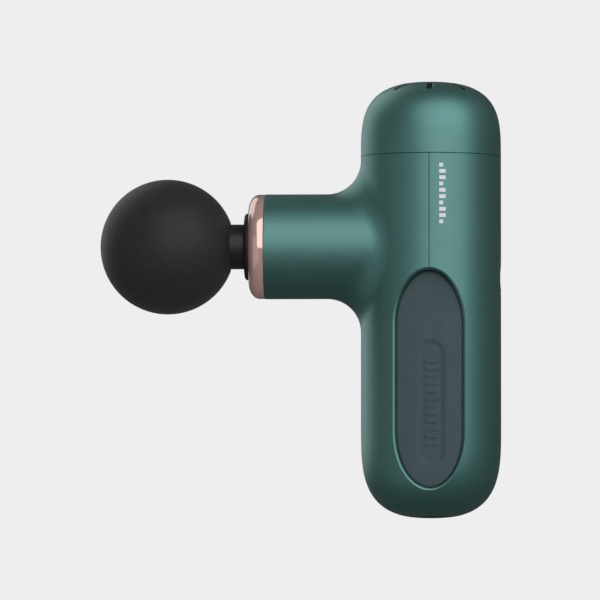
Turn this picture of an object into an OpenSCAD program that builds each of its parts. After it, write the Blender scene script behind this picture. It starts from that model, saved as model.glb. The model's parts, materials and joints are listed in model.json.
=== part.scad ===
// Handheld massage gun: a round handle with a side neck, a driven piston and a ball head.
// Frame: origin on the handle's axis midway up the grip panels, +Z up, head towards -X.

/* [Handle] */
// Outer radius of the round handle
body_r = 22.85; // [21:0.05:24]
// Height of the highest point of the cap above the origin
body_top = 96.9; // [94:0.1:100]
// Depth of the rounded foot below the origin
body_foot = 45.4; // [45:0.1:48]
// Wall thickness of the shells
wall = 2.2; // [1.8:0.1:2.4]
// Height at which the cap meets the two shells
cap_seam = 72.4; // [71.8:0.1:73]
// Gap left along the seams between shells
seam_gap = 0.1; // [0.05:0.05:0.2]

/* [Handle ends] */
// Height over which the cap curves in to the axis
top_dome = 26; // [24:0.5:28]
// Height over which the foot curves in to the axis
foot_dome = 32; // [28:0.5:34]
// Straight faces drawn along each curved end
dome_steps = 14; // [8:1:20]

/* [Neck and nose] */
// Height of the neck's axis
neck_z = 43.25; // [43:0.05:43.5]
// Outer radius of the neck
neck_r = 17.1; // [16.8:0.05:17.4]
// Distance from the handle's axis to the neck's front edge
neck_reach = 54.2; // [54:0.1:56]
// Radius of the blend between neck and handle
neck_blend = 11; // [9:0.5:11]
// Length of the metal nose ring
ring_len = 5.2; // [5:0.1:6]
// Radius of the nose ring's rounded front corner
ring_round = 5; // [4:0.1:5]
// Radius of the nose ring's mouth
mouth_r = 10.9; // [10.5:0.1:11.5]

/* [Grip panels] */
// Half width of a grip panel
panel_hw = 10.9; // [9:0.1:11]
// Half length of a grip panel
panel_hl = 35.2; // [30:0.1:35.5]
// Length of a panel's elliptic end
panel_end = 18; // [12:0.5:20]
// Height of a panel's middle
panel_mid = -1; // [-2:0.1:1]
// Distance from the axis to the flat seat behind a panel
panel_seat = 17.2; // [17:0.1:17.6]
// Distance from the axis to the middle of a panel's face
panel_crown = 19.5; // [19.2:0.1:19.8]
// Radius of a panel's gently curved face
panel_face_r = 60; // [40:1:90]
// Gap around a panel
panel_gap = 0.15; // [0.1:0.05:0.3]

/* [Massage head] */
// Radius of the ball
ball_r = 22; // [18:0.5:25]
// Distance from the handle's axis to the ball's centre
ball_reach = 85.9; // [85.9:0.1:90]
// Radius of the stem's collar and of the piston
stem_r = 7.3; // [7:0.1:7.5]
// Radius of the plug that goes into the piston
plug_r = 5; // [4.5:0.1:5.2]
// Length of that plug
plug_len = 20; // [16:1:20]

/* [Drive] */
// Crank throw, which is half of the stroke
throw = 3.5; // [3:0.1:3.6]
// Distance from the crank pin to the wrist pin
rod_len = 24; // [24:0.5:25]
// Radius of the motor shaft and the crank pin
shaft_r = 2.5; // [2.3:0.1:2.5]
// Outer radius of the motor's turning bell
bell_r = 17; // [16.5:0.1:17.2]
// Magnet segments in the bell
magnets = 14; // [10:2:14]
// Teeth on the stator
teeth = 12; // [9:3:12]
// Blades on the cooling fan
blades = 9; // [7:1:11]

/* [Battery] */
// Radius of a cell
cell_r = 9; // [8:0.1:9]
// Length of a cell
cell_len = 50; // [45:0.5:50]
// Height of the cells' upper ends
cell_top = 16.8; // [16:0.1:17]

/* [Controls and vents] */
// Height of the power button's centre
button_z = 33; // [32:0.5:34]
// Radius of the power button
button_r = 5.4; // [5:0.1:6]
// Air slots in the cap
vents = 8; // [6:1:10]
// Width of an air slot
vent_w = 1.6; // [1.2:0.1:2]

/* [Hidden] */

$fn = 64;

// Exponents of the end curves, along and across the axis
dome_along = 3.75;
dome_across = 2.65;
big = 200;          // larger than the whole object
skin = 0.05;        // running clearance of shafts and sleeves

// Height levels inside the handle, from the foot up
board_t = 1.2;
cell_foot = cell_top - cell_len;
tab_t = 0.2;
holder_t = 2.4;
deck_z = cell_top + tab_t + holder_t;      // cross deck over the cells
deck_t = 1.4;
main_z = deck_z + 5;                       // main board
main_t = 1.6;
post_x = 11;                               // posts and screws of the main board
post_y = 8;
post_screw_r = 0.8;
plate_z = 54.5;                            // plate that carries the motor
plate_t = 2.5;
base_z = plate_z + plate_t;                // motor base
base_t = 2.5;
hub_top = 75;
hub_r = 6.5;
motor_screw_r = 1.25;
bearing_h = 4;
bearing_r = 5;
stator_z = 62.5;
stator_h = 12;
stator_r = 14.5;
coil_mid = 10.6;                           // distance from the shaft to a coil's middle
coil_r = 2;
bell_z = 60.5;
bell_top = 78.5;
fan_z = 79.5;
fan_h = 4.5;
crank_z = 47.5;                            // underside of the crank disc
crank_h = 5.5;
crank_r = 10.8;
rod_t = 4;
rod_z = neck_z - rod_t / 2;

// Places along the neck, measured from the handle's axis towards the head
wrist_x = rod_len - throw;
wrist_r = 2;
piston_back = 33;
piston_front = 60;
tongue_back = 16;
tongue_z = 36;
tongue_h = 4.7;
tongue_w = 8;
sleeve_back = 34;
sleeve_front = 54;
sleeve_r = 9.5;
tube_r = 12;
seal_front = neck_reach + ring_len + 1.5;  // the seal stands proud of the ring
rib_front = 52;
rib_back = 38;
rib_t = 1.6;

// Dish in a panel's face, and the air slots in the cap
dish_len = 42;
dish_w = 9.8;
dish_depth = 0.7;
dish_drop = 7.7;                           // how far its middle lies below the panel's
vent_mid = 12.4;
vent_len = 7.8;
wire_r = 0.6;
wire_hole_r = 1.1;

// Chassis rails, one on each side
rail_in = 11.5;
rail_out = 13.8;
rail_hw = 7;
rail_foot = -38.2;
bed_back = panel_seat - 2;
screw_x = 5;
screw_z = 27;
screw_r = 1;
head_r = 1.9;

// Switch and charge port
switch_x = 15.6;
plunger_x = 19.9;
bezel_r = 7;
bezel_t = 1.2;
bezel_z = -45.3;
port_w = 8.94;
port_h = 3.26;

// ---- shared shapes ----

// Half outline of the handle, inset by d, as [radius, height] points from foot to top
function handle_profile(d) =
    let (r = body_r - d, top = top_dome - d, foot = foot_dome - d)
    concat(
        [for (i = [0 : dome_steps]) let (a = 90 * i / dome_steps)
            [r * pow(sin(a), 2 / dome_across), foot_dome - body_foot - foot * pow(cos(a), 2 / dome_along)]],
        [for (i = [dome_steps : -1 : 0]) let (a = 90 * i / dome_steps)
            [r * pow(sin(a), 2 / dome_across), body_top - top_dome + top * pow(cos(a), 2 / dome_along)]]);

module handle_solid(d) {
    rotate_extrude() polygon(handle_profile(d));
}

// Something turned about the neck's axis: y of the child is the distance from that axis,
// and x of the child is the distance from the handle's axis towards the head
module about_neck() {
    translate([0, 0, neck_z]) rotate([0, -90, 0]) rotate_extrude() rotate(90) mirror([0, 1, 0]) children();
}

// A cylinder along the neck, from distance a to distance b towards the head
module neck_rod(a, b, r) {
    translate([-b, 0, neck_z]) rotate([0, 90, 0]) cylinder(h = b - a, r = r);
}

module neck_pipe(a, b, r, bore) {
    difference() {
        neck_rod(a, b, r);
        neck_rod(a - 1, b + 1, bore);
    }
}

module pipe(h, r, bore) {
    difference() {
        cylinder(h = h, r = r);
        translate([0, 0, -1]) cylinder(h = h + 2, r = bore);
    }
}

// A block centred on x and y that stands on z = 0
module block(w, d, h) {
    translate([-w / 2, -d / 2, 0]) cube([w, d, h]);
}

// A flat slot with round ends, along x
module slot(w, d) {
    square([w - d, d], center = true);
    for (s = [-1, 1]) translate([s * (w - d) / 2, 0]) circle(d = d);
}

// Outline of a grip panel grown by d, width along x and length along y
function panel_outline(d) =
    let (w = panel_hw + d, e = panel_end + d, straight = panel_hl - panel_end)
    concat(
        [for (i = [0 : 16]) let (a = 180 * i / 16) [w * cos(a), panel_mid + straight + e * sin(a)]],
        [for (i = [0 : 16]) let (a = 180 + 180 * i / 16) [w * cos(a), panel_mid - straight + e * sin(a)]]);

// A grip panel's outline extruded along y on the side s, from distance a to distance b
module panel_prism(s, a, b, d) {
    rotate([90, 0, 0]) translate([0, 0, s < 0 ? a : -b]) linear_extrude(b - a) polygon(panel_outline(d));
}

// A round bar along y on the side s, from distance a to distance b
module side_rod(s, a, b, r) {
    rotate([90, 0, 0]) translate([0, 0, s < 0 ? a : -b]) cylinder(h = b - a, r = r);
}

// Repeats its child at the screw positions of one shell: half is -1 in front and 1 behind
module at_shell_screws(half) {
    for (s = [-1, 1], z = [-screw_z, screw_z]) translate([half * screw_x, 0, z]) {
        $side = s;
        children();
    }
}

// Everything that is cut away inside a shell
module cavity(half) {
    difference() {
        union() {
            handle_solid(wall);
            if (half < 0) neck_rod(0, neck_reach + 1, neck_r - wall);
        }
        for (s = [-1, 1]) panel_prism(s, bed_back, body_r, 1.5);
        at_shell_screws(half) side_rod($side, rail_out, bed_back + 1, 2.6);
    }
}

// Everything that is cut into a shell from outside
module shell_cuts(half) {
    for (s = [-1, 1]) panel_prism(s, panel_seat, body_r + 1, panel_gap);
    at_shell_screws(half) side_rod($side, rail_out - 1, body_r, screw_r + 0.1);
    at_shell_screws(half) side_rod($side, panel_seat - board_t, body_r, head_r + 0.2);
    translate([0, 0, -body_foot - 1]) linear_extrude(wall + 3) slot(port_w + 0.5, port_h + 0.5);
    translate([0, 0, -body_foot - 1]) cylinder(h = bezel_z + bezel_t + body_foot + 1, r = bezel_r + skin);
}

// The half space that one shell may fill
module shell_space(half) {
    translate([half < 0 ? -big - seam_gap / 2 : seam_gap / 2, -big / 2, -big])
        cube([big, big, big + cap_seam - seam_gap / 2]);
}

// Hollow neck with the rolling-ball blend that joins it to the handle. Each section runs from
// the neck's front edge along the neck, round the blend and into the handle's wall.
module neck_solid() {
    sides = 64;
    steps = 9;
    reach = neck_r + neck_blend;
    hub = body_r + neck_blend;
    bore = neck_r - 4;
    function centre(a) = [-sqrt(hub * hub - pow(reach * cos(a), 2)), reach * cos(a), reach * sin(a)];
    function to_neck(a) = [0, -cos(a), -sin(a)];
    function to_body(a) = let (c = centre(a)) [-c[0], -c[1], 0] / hub;
    function blend_point(a, t) =
        let (u = to_neck(a), v = to_body(a), g = acos(u * v), sunk = t == 1 ? 0.1 : 0)
        centre(a) + (neck_blend + sunk) * (sin((1 - t) * g) * u + sin(t * g) * v) / sin(g);
    function section(a) = concat(
        [[-neck_reach, bore * cos(a), bore * sin(a)], [-neck_reach, neck_r * cos(a), neck_r * sin(a)]],
        [for (j = [0 : steps]) blend_point(a, j / steps)],
        [[-body_r / 2, bore * cos(a), bore * sin(a)]]);
    row = steps + 4;
    points = [for (i = [0 : sides - 1]) each section(360 * i / sides)];
    faces = [for (i = [0 : sides - 1], j = [0 : row - 1])
        let (n = (i + 1) % sides, k = (j + 1) % row)
        for (f = [[i * row + j, n * row + k, n * row + j], [i * row + j, i * row + k, n * row + k]]) f];
    translate([0, 0, neck_z]) polyhedron(points, faces);
}

// Eight tapered ribs that centre the chassis tube in the neck
module neck_ribs() {
    for (i = [0 : 7]) translate([0, 0, neck_z]) rotate([45 * i + 22.5, 0, 0]) hull() {
        translate([-rib_front, -rib_t / 2, tube_r + 0.2]) cube([1, rib_t, neck_r - wall - tube_r + 0.6]);
        translate([-rib_back, -rib_t / 2, neck_r - wall - 1]) cube([1, rib_t, 1.8]);
    }
}

// ---- casing ----

module front_shell() color("#2f6560") {
    neck_ribs();
    intersection() {
        shell_space(-1);
        difference() {
            union() {
                handle_solid(0);
                neck_solid();
            }
            cavity(-1);
            shell_cuts(-1);
        }
    }
}

module rear_shell() color("#2f6560") intersection() {
    shell_space(1);
    difference() {
        handle_solid(0);
        cavity(1);
        shell_cuts(1);
        translate([switch_x, 0, button_z]) rotate([0, 90, 0]) cylinder(h = body_r, r = button_r + 0.2);
        at_leds() rotate([0, 90, 0]) cylinder(h = body_r, r = 0.8);
    }
}

module top_cap() color("#2f6560") {
    difference() {
        handle_solid(0);
        handle_solid(wall);
        translate([-big / 2, -big / 2, cap_seam + seam_gap / 2 - big]) cube(big);
        for (i = [0 : vents - 1]) rotate(360 * i / vents - 90)
            translate([vent_mid, 0, cap_seam + 4]) linear_extrude(big) slot(vent_len, vent_w);
    }
    // lip that drops inside the shells
    translate([0, 0, cap_seam - 3]) pipe(4, body_r - wall - 0.15, body_r - wall - 1.6);
    translate([0, 0, cap_seam + seam_gap / 2]) pipe(1.5, body_r - wall + 0.5, body_r - wall - 1.6);
}

module grip_panel(s) {
    difference() {
        intersection() {
            panel_prism(s, panel_seat, body_r, 0);
            translate([0, s * (panel_crown - panel_face_r), -big / 2])
                cylinder(h = big, r = panel_face_r, $fn = 360);
        }
        translate([0, 0, panel_mid - dish_drop]) rotate([90, 0, 0])
            translate([0, 0, s < 0 ? panel_crown - dish_depth : -body_r])
            linear_extrude(body_r - panel_crown + dish_depth) rotate(90) slot(dish_len, dish_w);
    }
}

module grip_panel_left() color("#42535a") grip_panel(-1);

module grip_panel_right() color("#42535a") grip_panel(1);

module nose_ring() color("#c98f7c") about_neck() polygon(concat(
    [[neck_reach, neck_r - wall], [neck_reach, neck_r - 0.1]],
    [for (i = [0 : 8]) let (a = 90 * i / 8)
        [neck_reach + ring_len - ring_round * (1 - sin(a)), neck_r - 0.1 - ring_round * (1 - cos(a))]],
    [[neck_reach + ring_len, mouth_r], [neck_reach + ring_len - 1.6, mouth_r],
        [neck_reach + ring_len - 3, mouth_r + 1.4]]));

module dust_seal() color("#1b1a1c") about_neck() polygon([
    [sleeve_front + 0.5, mouth_r - 0.1], [sleeve_front + 0.5, stem_r + 1.4],
    [seal_front - 3.1, stem_r + 1.4], [seal_front - 2.3, stem_r + 0.35],
    [seal_front - 0.9, stem_r + 0.35], [seal_front, mouth_r - 1.9],
    [seal_front - 0.2, mouth_r - 0.6], [seal_front - 0.8, mouth_r - 0.02],
    [neck_reach + ring_len - 1.6, mouth_r - 0.02]]);

module port_bezel() color("#1b1a1c") translate([0, 0, bezel_z]) linear_extrude(bezel_t) difference() {
    circle(r = bezel_r);
    slot(port_w + 0.3, port_h + 0.3);
}

module shell_screws() color("#8d9092") for (half = [-1, 1]) at_shell_screws(half) {
    side_rod($side, rail_in + 0.4, panel_seat - board_t, screw_r);
    difference() {
        side_rod($side, panel_seat - board_t, panel_seat - 0.1, head_r);
        rotate([90, 0, 0]) translate([0, 0, $side < 0 ? panel_seat - 0.7 : -panel_seat])
            linear_extrude(0.7) circle(r = 0.9, $fn = 6);
    }
}

// ---- frame ----

module chassis() color("#9ba1a5") difference() {
    union() {
        for (s = [-1, 1]) translate([0, s * (rail_in + rail_out) / 2, rail_foot])
            block(2 * rail_hw, rail_out - rail_in, plate_z + 1 - rail_foot);
        // cross plate at the foot, with its middle open for the charge board
        translate([0, 0, rail_foot]) block(2 * rail_hw, 2 * rail_out, 2);
        // deck over the cells
        intersection() {
            translate([0, 0, deck_z]) block(28, 2 * rail_out, deck_t);
            cylinder(h = big, r = body_r - wall - 1);
        }
        at_posts() translate([0, 0, deck_z]) cylinder(h = main_z - deck_z, r = 1.8);
        // motor plate
        translate([0, 0, plate_z]) cylinder(h = plate_t, r = 19.2);
        // arms that carry the neck tube
        for (s = [-1, 1]) translate([-piston_back + 1, s * (rail_in + rail_out) / 2 - 1.15, neck_z - 4.5])
            cube([piston_back, rail_out - rail_in, 9]);
        neck_rod(piston_back - 3, sleeve_front, tube_r);
        neck_rod(piston_back - 3, piston_back, neck_r - wall - 0.3);
    }
    neck_rod(piston_back - 6, sleeve_front + 1, sleeve_r);
    translate([0, 0, plate_z - 1]) cylinder(h = plate_t + 2, r = 7);
    translate([0, 0, rail_foot - 1]) block(11, 2 * rail_in - 2, 4);
    translate([0, 0, deck_z - 1]) cylinder(h = deck_t + 2, r = 4);
    at_motor_screws() translate([0, 0, plate_z - 1]) cylinder(h = plate_t + 2, r = motor_screw_r);
    at_wires() translate([0, 0, plate_z - 1]) cylinder(h = plate_t + 2, r = wire_hole_r);
    for (half = [-1, 1]) at_shell_screws(half) side_rod($side, rail_in - 1, rail_out + 1, screw_r);
    at_posts() translate([0, 0, deck_z + 1]) cylinder(h = main_z - deck_z, r = post_screw_r);
}

module sleeve_bushing() color("#b5894a") neck_pipe(sleeve_back, sleeve_front, sleeve_r, stem_r + skin);

module rubber_mounts() color("#1b1a1c") for (a = [10 : 90 : 280]) rotate(a)
    translate([0, 0, plate_z]) rotate_extrude(angle = 25) translate([19.2, 0]) square([1.4, plate_t]);

// ---- motor ----

// Repeats its child at the four screws that hold the motor to its plate
module at_motor_screws() {
    for (a = [45 : 90 : 315]) rotate(a) translate([14, 0, 0]) children();
}

module motor_base() color("#9ba1a5") difference() {
    union() {
        translate([0, 0, base_z]) cylinder(h = base_t, r = 17.8);
        translate([0, 0, base_z]) cylinder(h = hub_top - base_z, r = hub_r);
    }
    translate([0, 0, base_z - 1]) cylinder(h = big, r = 3);
    translate([0, 0, base_z - 1]) cylinder(h = bearing_h + 1, r = bearing_r);
    translate([0, 0, hub_top - bearing_h]) cylinder(h = bearing_h + 1, r = bearing_r);
    at_motor_screws() translate([0, 0, base_z - 1]) cylinder(h = base_t + 2, r = motor_screw_r);
    at_wires() translate([0, 0, base_z - 1]) cylinder(h = base_t + 2, r = wire_hole_r);
}

module at_teeth() {
    for (i = [0 : teeth - 1]) rotate(360 * (i + 0.5) / teeth) children();
}

module stator_core() color("#6f7479") translate([0, 0, stator_z]) linear_extrude(stator_h) difference() {
    circle(r = stator_r);
    circle(r = hub_r);
    at_teeth() translate([coil_mid, 0]) circle(r = coil_r + 0.1);
    at_teeth() translate([12.5, 0]) square([5, 1.6], center = true);
}

module stator_windings() color("#b5673a") at_teeth() translate([coil_mid, 0, stator_z - 1.1])
    cylinder(h = stator_h + 2.2, r = coil_r);

module motor_bearings() color("#c4c7c9") for (z = [base_z, hub_top - bearing_h])
    translate([0, 0, z]) pipe(bearing_h, bearing_r, shaft_r + skin);

module motor_screws() color("#8d9092") at_motor_screws() {
    translate([0, 0, plate_z]) cylinder(h = plate_t + base_t - 0.5, r = motor_screw_r);
    translate([0, 0, plate_z - 1.4]) cylinder(h = 1.4, r = 2.2);
}

module rotor_bell() color("#3b3e42") difference() {
    union() {
        translate([0, 0, bell_z]) pipe(bell_top - bell_z, bell_r, bell_r - 1.2);
        translate([0, 0, bell_top - 1.7]) cylinder(h = 1.7, r = bell_r - 0.5);
        translate([0, 0, hub_top + 0.5]) cylinder(h = bell_top - hub_top - 0.5, r = 5);
    }
    translate([0, 0, hub_top]) cylinder(h = 8, r = shaft_r);
    for (a = [0 : 60 : 300]) rotate(a) translate([10, 0, hub_top]) cylinder(h = 8, r = 2.6);
}

module rotor_magnets() color("#77797c") translate([0, 0, stator_z - 0.5])
    for (i = [0 : magnets - 1]) rotate(360 * i / magnets) rotate_extrude(angle = 300 / magnets)
        translate([bell_r - 2.05, 0]) square([0.85, stator_h + 1]);

module motor_shaft() color("#c4c7c9") translate([0, 0, crank_z + 3])
    cylinder(h = fan_z + fan_h - crank_z - 3, r = shaft_r);

module cooling_fan() color("#2b2d30") translate([0, 0, fan_z]) {
    pipe(fan_h, 5, shaft_r);
    pipe(0.9, 15.5, 4.5);
    for (i = [0 : blades - 1]) rotate(360 * i / blades) translate([4.6, -0.5, 0.5]) rotate(-12)
        cube([10.4, 0.9, fan_h - 0.5]);
}

// ---- crank drive ----

module crank_disc() color("#9ba1a5") translate([0, 0, crank_z]) difference() {
    union() {
        cylinder(h = crank_h, r = 6.6);
        intersection() {
            cylinder(h = crank_h, r = crank_r);
            translate([-big - 1, -big / 2, 0]) cube(big);
        }
    }
    translate([0, 0, 3]) cylinder(h = crank_h, r = shaft_r);
    translate([throw, 0, -1]) cylinder(h = 3.5, r = shaft_r);
}

module crank_pin() color("#c4c7c9") translate([throw, 0, rod_z - 0.35])
    cylinder(h = crank_z + 2.5 - rod_z + 0.35, r = shaft_r);

module crank_screw() color("#8d9092") translate([throw, 0, rod_z - 1.65]) difference() {
    cylinder(h = 1.3, r = 3.4);
    translate([0, 0, -1]) cylinder(h = 1.7, r = 1.3, $fn = 6);
}

module connecting_rod() color("#9ba1a5") translate([throw, 0, rod_z]) difference() {
    union() {
        cylinder(h = rod_t, r = 7.1);
        translate([-rod_len, 0, 0]) cylinder(h = rod_t, r = 4.2);
        translate([-rod_len, -2.6, 0]) cube([rod_len - 5.5, 5.2, rod_t]);
    }
    translate([0, 0, -1]) cylinder(h = rod_t + 2, r = bearing_r);
    translate([-rod_len, 0, -1]) cylinder(h = rod_t + 2, r = 2.7);
    // waist pockets above and below
    for (z = [-1, rod_t - 0.8]) translate([-rod_len + 6, -1.5, z]) cube([9, 3, 1.8]);
}

module big_end_bearing() color("#c4c7c9") translate([throw, 0, rod_z]) pipe(rod_t, bearing_r, shaft_r + skin);

module small_end_bush() color("#b5894a") translate([-wrist_x, 0, rod_z]) pipe(rod_t, 2.7, 2.05);

module piston() color("#c4c7c9") difference() {
    union() {
        neck_rod(piston_back, piston_front, stem_r);
        // flat tongue, kept inside the piston's own radius so that it can enter the sleeve
        intersection() {
            translate([-piston_back - 1, -tongue_w / 2, tongue_z])
                cube([piston_back + 1 - tongue_back, tongue_w, tongue_h]);
            neck_rod(tongue_back - 1, piston_back + 2, stem_r);
        }
    }
    neck_rod(piston_front - plug_len - 0.5, piston_front + 1, plug_r + skin);
    translate([-wrist_x, 0, tongue_z - 1]) cylinder(h = tongue_h + 2, r = wrist_r);
}

module wrist_pin() color("#8d9092") translate([-wrist_x, 0, tongue_z + 0.4])
    cylinder(h = rod_z - 0.3 - tongue_z - 0.4, r = wrist_r);

// ---- massage head ----

module massage_ball() color("#1e1d1f") difference() {
    translate([-ball_reach, 0, neck_z]) sphere(r = ball_r);
    neck_rod(piston_front, ball_reach + 4, stem_r - 1.3);
    neck_rod(piston_front, ball_reach - ball_r + 4, stem_r);
}

module head_stem() color("#151416") difference() {
    union() {
        neck_rod(piston_front - plug_len, piston_front + 1, plug_r);
        neck_rod(piston_front + skin, ball_reach - ball_r + 4, stem_r);
        neck_rod(piston_front + 1, ball_reach + 4, stem_r - 1.3);
    }
    neck_pipe(piston_front - 6.8, piston_front - 5.2, stem_r, plug_r - 1.6);
}

module o_ring() color("#3a1d17") about_neck() translate([piston_front - 6, plug_r - 0.8]) circle(r = 0.8);

// ---- battery and boards ----

module at_cells() {
    for (s = [-1, 1]) translate([s * (cell_r + 0.2), 0, 0]) children();
}

module battery_cells() color("#3f6f9c") at_cells()
    translate([0, 0, cell_foot]) cylinder(h = cell_len, r = cell_r);

module cell_tabs() color("#c9cbcc") for (z = [cell_foot - tab_t, cell_top])
    translate([0, 0, z]) block(24, 5, tab_t);

module battery_holder() color("#2b2d30") intersection() {
    union() {
        translate([0, 0, cell_foot - tab_t - holder_t]) block(36, 2 * rail_in - 0.4, holder_t);
        translate([0, 0, cell_top + tab_t]) block(38, 2 * rail_in - 0.4, holder_t);
        // centre web between the cells
        for (s = [-1, 1]) translate([0, s * 8.4, cell_foot - 1]) block(5, 3.4, cell_len + 2);
    }
    translate([0, 0, -big / 2]) cylinder(h = big, r = 16.6);
}

// Repeats its child at the four posts under the main board
module at_posts() {
    for (x = [-post_x, post_x], y = [-post_y, post_y]) translate([x, y, 0]) children();
}

module main_board() color("#1f5a3a") intersection() {
    translate([0, 0, main_z]) block(29, 2 * rail_in - 0.4, main_t);
    difference() {
        cylinder(h = big, r = 17);
        at_posts() cylinder(h = big, r = post_screw_r);
        at_wires() cylinder(h = big, r = wire_r + skin);
    }
}

module capacitors() color("#2e2f4a") for (y = [-5, 5])
    translate([-7, y, main_z + main_t]) cylinder(h = 8, r = 3);

module driver_chips() color("#18191b") {
    translate([1, 0, main_z + main_t]) block(6, 6, 1);
    for (y = [-6, -2, 2, 6]) translate([7.2, y, main_z + main_t]) block(3.4, 3, 1);
}

module board_screws() color("#8d9092") at_posts() translate([0, 0, deck_z + 1.5]) {
    cylinder(h = main_z - deck_z + 0.1, r = post_screw_r);
    translate([0, 0, main_z - deck_z + 0.1]) cylinder(h = 1.2, r = 1.6);
}

module charge_board() color("#1f5a3a") translate([0, port_h / 2 + board_t / 2, -42])
    block(10.4, board_t, 5.6);

module usb_socket() color("#c4c7c9") translate([0, 0, -45]) {
    linear_extrude(7.3) difference() {
        slot(port_w, port_h);
        slot(port_w - 0.6, port_h - 0.6);
    }
    translate([0, 0, 6.3]) linear_extrude(1) slot(port_w - 0.3, port_h - 0.3);
    translate([0, 0, 1]) block(6.7, 0.7, 6);
}

// Repeats its child at the battery lights, just outside the front of each
module at_leds() {
    for (i = [0 : 3]) translate([switch_x + 2.1, 0, button_z - 6.7 - 1.8 * i]) children();
}

module switch_board() color("#1f5a3a") translate([switch_x + board_t / 2, 0, deck_z + deck_t + 0.2])
    block(board_t, 12, button_z + 6 - deck_z - deck_t);

module tact_switch() color("#2b2d30") difference() {
    translate([switch_x + board_t, -2.6, button_z - 2.6]) cube([2.2, 5.2, 5.2]);
    translate([switch_x + board_t + 0.5, 0, button_z]) rotate([0, 90, 0]) cylinder(h = 5, r = 1.25);
}

module status_leds() color("#e8efe6") at_leds() translate([-0.9, -0.7, -0.5]) cube([0.8, 1.4, 1]);

module led_windows() color("#dfe6e4") intersection() {
    at_leds() rotate([0, 90, 0]) cylinder(h = body_r, r = 0.8);
    cylinder(h = big, r = body_r - 0.1);
}

module switch_plunger() color("#d8d8d4") translate([plunger_x, 0, button_z]) rotate([0, -90, 0])
    cylinder(h = 1.9, r = 1.2);

module power_button() color("#5b6a6c") intersection() {
    translate([plunger_x + 0.15, 0, button_z]) rotate([0, 90, 0]) cylinder(h = 5, r = button_r);
    cylinder(h = big, r = body_r - 0.15);
}

// ---- wires ----

// Repeats its child at the three motor leads
module at_wires() {
    for (a = [16, 22, 28]) rotate(-a) translate([15, 0, 0]) children();
}

module wire_harness() color("#8c2f2b") {
    // motor leads from the main board up through the motor base
    at_wires() {
        translate([0, 0, main_z]) cylinder(h = base_z + base_t + 0.6 - main_z, r = wire_r);
        translate([0, 0, base_z + base_t + 0.6]) rotate([0, -90, 0]) cylinder(h = 4, r = 0.5);
    }
    // battery leads beside the cells
    for (x = [-4, 4]) translate([x, 10.2, cell_foot - tab_t]) cylinder(h = cell_len + 2 * tab_t, r = wire_r);
}

front_shell();
rear_shell();
top_cap();
grip_panel_left();
grip_panel_right();
nose_ring();
dust_seal();
port_bezel();
chassis();
sleeve_bushing();
rubber_mounts();
motor_base();
stator_core();
stator_windings();
motor_bearings();
motor_screws();
battery_cells();
battery_holder();
cell_tabs();
main_board();
capacitors();
driver_chips();
board_screws();
charge_board();
usb_socket();
switch_board();
tact_switch();
status_leds();
led_windows();
shell_screws();
wire_harness();
rotor_bell();
rotor_magnets();
motor_shaft();
cooling_fan();
crank_disc();
crank_pin();
crank_screw();
connecting_rod();
big_end_bearing();
small_end_bush();
piston();
wrist_pin();
massage_ball();
head_stem();
o_ring();
power_button();
switch_plunger();
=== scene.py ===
"""Looks of a handheld massage gun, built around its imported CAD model. All sizes are in metres."""

import json
import math

import bmesh
import bpy
import numpy as np
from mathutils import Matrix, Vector


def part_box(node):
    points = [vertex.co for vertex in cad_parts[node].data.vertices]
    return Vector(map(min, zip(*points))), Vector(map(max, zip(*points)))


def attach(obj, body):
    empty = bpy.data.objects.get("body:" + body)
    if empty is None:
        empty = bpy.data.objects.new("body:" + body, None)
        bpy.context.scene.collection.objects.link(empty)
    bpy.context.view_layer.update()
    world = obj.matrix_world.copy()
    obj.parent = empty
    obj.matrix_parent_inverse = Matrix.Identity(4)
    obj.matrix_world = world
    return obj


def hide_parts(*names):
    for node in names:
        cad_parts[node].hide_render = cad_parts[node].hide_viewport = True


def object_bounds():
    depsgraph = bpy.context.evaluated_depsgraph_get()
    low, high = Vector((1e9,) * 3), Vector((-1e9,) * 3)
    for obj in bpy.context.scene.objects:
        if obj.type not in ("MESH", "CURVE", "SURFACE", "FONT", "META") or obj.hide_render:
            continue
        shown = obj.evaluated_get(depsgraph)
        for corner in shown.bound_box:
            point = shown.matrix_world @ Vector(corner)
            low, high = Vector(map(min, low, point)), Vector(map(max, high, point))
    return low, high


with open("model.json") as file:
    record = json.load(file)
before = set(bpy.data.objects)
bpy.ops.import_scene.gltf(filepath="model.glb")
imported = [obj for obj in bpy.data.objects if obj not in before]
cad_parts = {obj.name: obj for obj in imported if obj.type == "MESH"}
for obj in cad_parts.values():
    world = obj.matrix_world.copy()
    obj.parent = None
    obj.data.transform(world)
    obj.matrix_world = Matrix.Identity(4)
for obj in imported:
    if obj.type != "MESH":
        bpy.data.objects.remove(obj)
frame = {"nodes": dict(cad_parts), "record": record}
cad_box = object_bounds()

MM = 0.001

# ---- driving dimensions, read from the frame ----

BODY_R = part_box("rear_shell")[1].x
BODY_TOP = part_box("top_cap")[1].z
WALL = 2.2 * MM          # of the shells, the cap and the neck
SEAM_GAP = 0.1 * MM
SEAM_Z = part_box("rear_shell")[1].z + SEAM_GAP / 2
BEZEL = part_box("port_bezel")
BEZEL_R = BEZEL[1].x
FOOT_Z = BEZEL[0].z - 0.1 * MM
NECK_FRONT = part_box("front_shell")[0].x
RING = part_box("nose_ring")
NECK_Z = (RING[0].z + RING[1].z) / 2
NECK_R = (RING[1].z - RING[0].z) / 2 + 0.1 * MM
RING_FRONT = RING[0].x
STEM_R = 7.3 * MM        # of the head's collar, and of the piston behind it
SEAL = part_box("dust_seal")
SEAL_R = (SEAL[1].z - SEAL[0].z) / 2
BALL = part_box("massage_ball")
BALL_R = (BALL[1].z - BALL[0].z) / 2
BALL_X = BALL[0].x + BALL_R
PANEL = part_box("grip_panel_left")
PANEL_HW = (PANEL[1].x - PANEL[0].x) / 2
PANEL_HL = (PANEL[1].z - PANEL[0].z) / 2
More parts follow.
